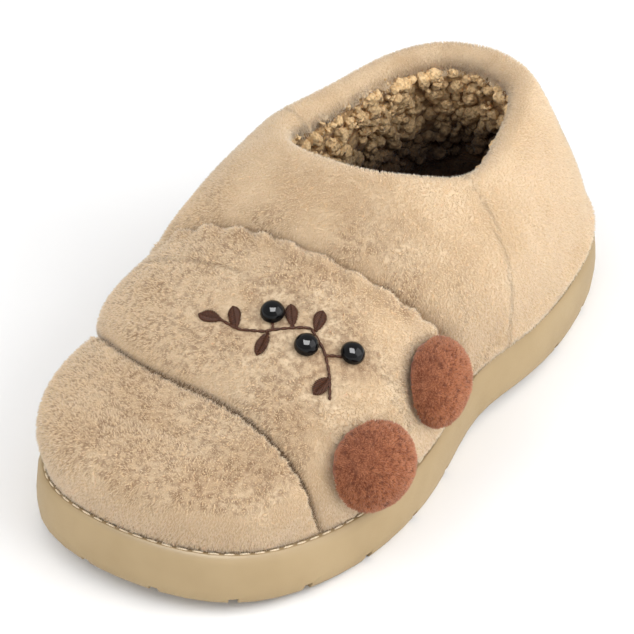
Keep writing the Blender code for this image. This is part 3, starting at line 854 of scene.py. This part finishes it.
def makePads():
    ground = plushFinish("fleeceGround", padColours, False)
    pile = plushFinish("fleecePile", padColours, True)
    hair = hairShape("fleeceHair", padNap["length"], padNap["width"], pile)
    for node, name in pads["nodes"]:
        mesh = subdivided(cadCopy(node), name, pads["levels"])
        places, out = points(mesh), normals(mesh)
        lumps = pads["grain"] * noiseAt(places, pads["grainScale"], (2, 8, 4))
        puff = pads["puff"] * smoothStep(*pads["puffFacing"], out[:, 1])
        places = places + out * (lumps + puff)[:, None]
        movePoints(mesh, places)
        away = places - places.mean(0)
        paint(mesh, "comb", pads["comb"] * away / np.abs(away).max())
        paint(mesh, "napCover", (out[:, 1] > pads["pileFacing"]).astype(float))
        paint(mesh, "napLength", np.ones(len(places)))
        # the pads' pile is parted all over, with painted shade in its pits
        paint(mesh, "rough", np.full(len(places), pads["rough"]))
        mesh.materials.append(ground)
        pad = addObject(name, mesh)
        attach(pad, "root")
        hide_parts(node)
        pileOn = scatter(name + "Nap", mesh, hair, padNap)
        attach(pileOn, "root")
    bpy.data.objects.remove(hair)


makePads()
print("pads done")


# Beads: the CAD domes made round, in gloss black

beadLevels = 2


def makeBeads():
    gloss = beadFinish()
    for number in beadNumbers:
        mesh = subdivided(cadCopy(f"bead_{number}"), f"bead{number}", beadLevels)
        mesh.materials.append(gloss)
        bead = addObject(f"bead{number}", mesh)
        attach(bead, "root")
        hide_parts(f"bead_{number}")


makeBeads()


# Sole: the CAD sole with its edges rounded, its tread finished apart. The footbed keeps its form.

soleEdges = {"bend": 40.0, "round": 0.0005, "segments": 2, "underBelow": 0.012, "underFacing": -0.9,
             "sharpFrom": 50.0, "deckAbove": 0.012, "flatFacing": 0.95, "lipOverDeck": 0.0035}


def makeSole():
    shape = cadCopy("sole")
    shape.normal_update()
    sharp = [edge for edge in shape.edges
             if len(edge.link_faces) == 2 and edge.calc_face_angle() > math.radians(soleEdges["bend"])]
    bmesh.ops.bevel(shape, geom=sharp, offset=soleEdges["round"], offset_type="OFFSET", affect="EDGES",
                    segments=soleEdges["segments"], profile=0.5, material=-1, clamp_overlap=True)
    shape.normal_update()
    for face in shape.faces:
        low = face.calc_center_median().z < soleEdges["underBelow"]
        face.material_index = int(low and face.normal.z < soleEdges["underFacing"])
    mesh = toMesh("rubberSole", shape)
    mesh.set_sharp_from_angle(angle=math.radians(soleEdges["sharpFrom"]))
    mesh.materials.append(soleFinish("soleRubber", False))
    mesh.materials.append(soleFinish("soleTread", True))
    made = addObject("rubberSole", mesh)
    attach(made, "root")
    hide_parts("sole")


def dressFootbed():
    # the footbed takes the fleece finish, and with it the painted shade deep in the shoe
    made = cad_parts["footbed"]
    made.data.materials.clear()
    made.data.materials.append(liningFinish("footbedFleece", False))


makeSole()
dressFootbed()
print("sole done")


# Stitches along the lip of the sole

stitches = {"length": 0.0040, "gap": 0.0014, "width": 0.0007, "height": 0.0008, "share": 0.42,
            "rise": 0.0001, "behind": 0.035, "fineness": 2, "dark": (0.78, 0.71, 0.59),
            "light": (0.90, 0.84, 0.74)}


def lipLoops():
    # the outer and inner edge of the flat lip on top of the sole, each in order
    shape = cadCopy("sole")
    deck = min(vert.co.z for vert in shape.verts if vert.co.z > soleEdges["deckAbove"])
    edges = []
    for face in shape.faces:
        centre = face.calc_center_median()
        high = centre.z > deck + soleEdges["lipOverDeck"] + lift(centre.x)
        if high and face.normal.z > soleEdges["flatFacing"]:
            edges += face.edges
    rim = [edge for edge in edges if edges.count(edge) == 1]
    loops = []
    while rim:
        edge = rim.pop(0)
        loop = [edge.verts[0], edge.verts[1]]
        while True:
            after = next((e for e in loop[-1].link_edges if e in rim), None)
            if after is None:
                break
            rim.remove(after)
            loop.append(after.other_vert(loop[-1]))
        loops.append(np.array([vert.co for vert in loop]))
    loops.sort(key=lambda loop: -np.linalg.norm(np.diff(loop, axis=0), axis=1).sum())
    shape.free()
    return loops[:2]


def stitchAt(shape, centre, along, up, size):
    # one thread stitch: a slim rounded capsule
    made = bmesh.ops.create_icosphere(shape, subdivisions=stitches["fineness"], radius=0.5)["verts"]
    side = up.cross(along).normalized()
    turn = Matrix((along, side, along.cross(side))).transposed()
    bmesh.ops.scale(shape, verts=made, vec=size)
    bmesh.ops.rotate(shape, verts=made, matrix=turn)
    bmesh.ops.translate(shape, verts=made, vec=centre)


def makeLipStitches():
    outer, inner = lipLoops()
    line = evenly(outer, stitches["length"] + stitches["gap"])
    shape = bmesh.new()
    for i, place in enumerate(line):
        if place[0] < stitches["behind"]:
            continue
        across = inner[np.argmin(np.linalg.norm(inner - place, axis=1))] - place
        along = Vector(line[(i + 1) % len(line)] - line[i - 1]).normalized()
        inwards = Vector(across)
        inwards -= along * inwards.dot(along)
        centre = Vector(place) + inwards * stitches["share"] + Vector((0, 0, stitches["rise"]))
        stitchAt(shape, centre, along, Vector((0, 0, 1)),
                 (stitches["length"], stitches["width"], stitches["height"]))
    mesh = toMesh("lipStitches", shape)
    mesh.materials.append(threadFinish("lipThread", stitches["dark"], stitches["light"]))
    made = addObject("lipStitches", mesh)
    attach(made, "root")


makeLipStitches()
print("stitches done")


# The sprig's stitches, laid on the finished cloth

def makeSprig():
    tree = BVHTree.FromPolygons([Vector(p) for p in points(plushUpper.data)],
                                [tuple(face.vertices) for face in plushUpper.data.polygons])
    shape = bmesh.new()

    def onCloth(place):
        hit = tree.ray_cast(Vector((*place, sprig["dropFrom"])), Vector((0, 0, -1)))
        return hit[0] + hit[1] * sprig["lie"], hit[1]

    def thread(start, end, width, height):
        (a, up), (b, lean) = onCloth(start), onCloth(end)
        along = (b - a).normalized()
        up = (up + lean).normalized()
        stitchAt(shape, (a + b) / 2, along, up, ((b - a).length * sprig["overlap"], width, height))

    lines = sprigLines()
    stems = 1 + len(beadNumbers)
    for line in lines[:stems]:
        fine = np.concatenate([line[:1], evenly(line, sprig["stitch"]), line[-1:]])
        for a, b in zip(fine, fine[1:]):
            thread(a, b, sprig["stemWidth"], sprig["threadHeight"])
    for middle in lines[stems:]:
        way = (middle[1] - middle[0]) / np.linalg.norm(middle[1] - middle[0])
        side = np.array((-way[1], way[0]))
        for i in range(sprig["threads"]):
            share = (i + 0.5) / sprig["threads"]
            full = math.sin(math.pi * share ** sprig["leafFull"]) ** sprig["leafFull"]
            half = sprig["leafWidth"] / 2 * full
            root = middle[0] + (middle[1] - middle[0]) * share
            for turn in (1, -1):
                thread(root, root + side * half * turn + way * half * sprig["slant"],
                       sprig["threadWidth"], sprig["threadHeight"])
    mesh = toMesh("sprigThread", shape)
    mesh.materials.append(threadFinish("sprigThread", sprig["dark"], sprig["light"]))
    made = addObject("sprigThread", mesh)
    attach(made, "root")
    print("sprig", len(mesh.polygons), "faces")


makeSprig()


# Floor and light

# Each light has its turn from the camera, its angle over the floor, how far off it is, its power and
# its width. The glint is seen only in gloss, and the beads take their one bright spot from it.
studio = {"floor": (0.93, 0.93, 0.93), "floorPale": (0.97, 0.97, 0.97), "floorSize": 4.0,
          "floorDrop": 0.0001, "sky": 0.74, "aim": (0, 0, 0.05), "inGloss": ("glint", "key"),
          "lights": (("key", 64.0, 30.0, 1.1, 12.0, 1.2), ("fill", -60.0, 38.0, 1.3, 7.2, 1.0),
                     ("top", 10.0, 70.0, 1.2, 1.8, 1.6), ("glint", -4.0, 64.0, 1.2, 75.0, 1.0))}


def makeStudio():
    scene = bpy.context.scene
    scene.view_settings.view_transform = "Standard"
    world = bpy.data.worlds.new("studio")
    world.use_nodes = True
    world.node_tree.nodes["Background"].inputs["Color"].default_value = (1, 1, 1, 1)
    world.node_tree.nodes["Background"].inputs["Strength"].default_value = studio["sky"]
    scene.world = world
    shape = bmesh.new()
    bmesh.ops.create_grid(shape, x_segments=1, y_segments=1, size=studio["floorSize"])
    bmesh.ops.translate(shape, verts=shape.verts, vec=(0, 0, -studio["floorDrop"]))
    floor = addObject("floor", toMesh("floor", shape, smooth=False))
    finish = Finish("paleFloor", 0.9, Specular_IOR_Level=0.1)
    finish.colour(finish.blend(finish.grain(8.0), studio["floor"], studio["floorPale"]))
    floor.data.materials.append(finish.material)
    for name, turn, rise, distance, power, size in studio["lights"]:
        light = bpy.data.lights.new(name, "AREA")
        light.size = size
        light.energy = power
        made = bpy.data.objects.new(name, light)
        scene.collection.objects.link(made)
        made.visible_diffuse = name != "glint"
        made.visible_glossy = name in studio["inGloss"]
        around = math.radians(view["turn"] + turn)
        lean = math.radians(rise)
        flat = math.cos(lean)
        way = Vector((math.sin(around) * flat, -math.cos(around) * flat, math.sin(lean)))
        place = Vector(studio["aim"]) + way * distance
        made.matrix_world = Matrix.LocRotScale(place, way.to_track_quat("Z", "Y"), None)


makeStudio()

print("scene done")
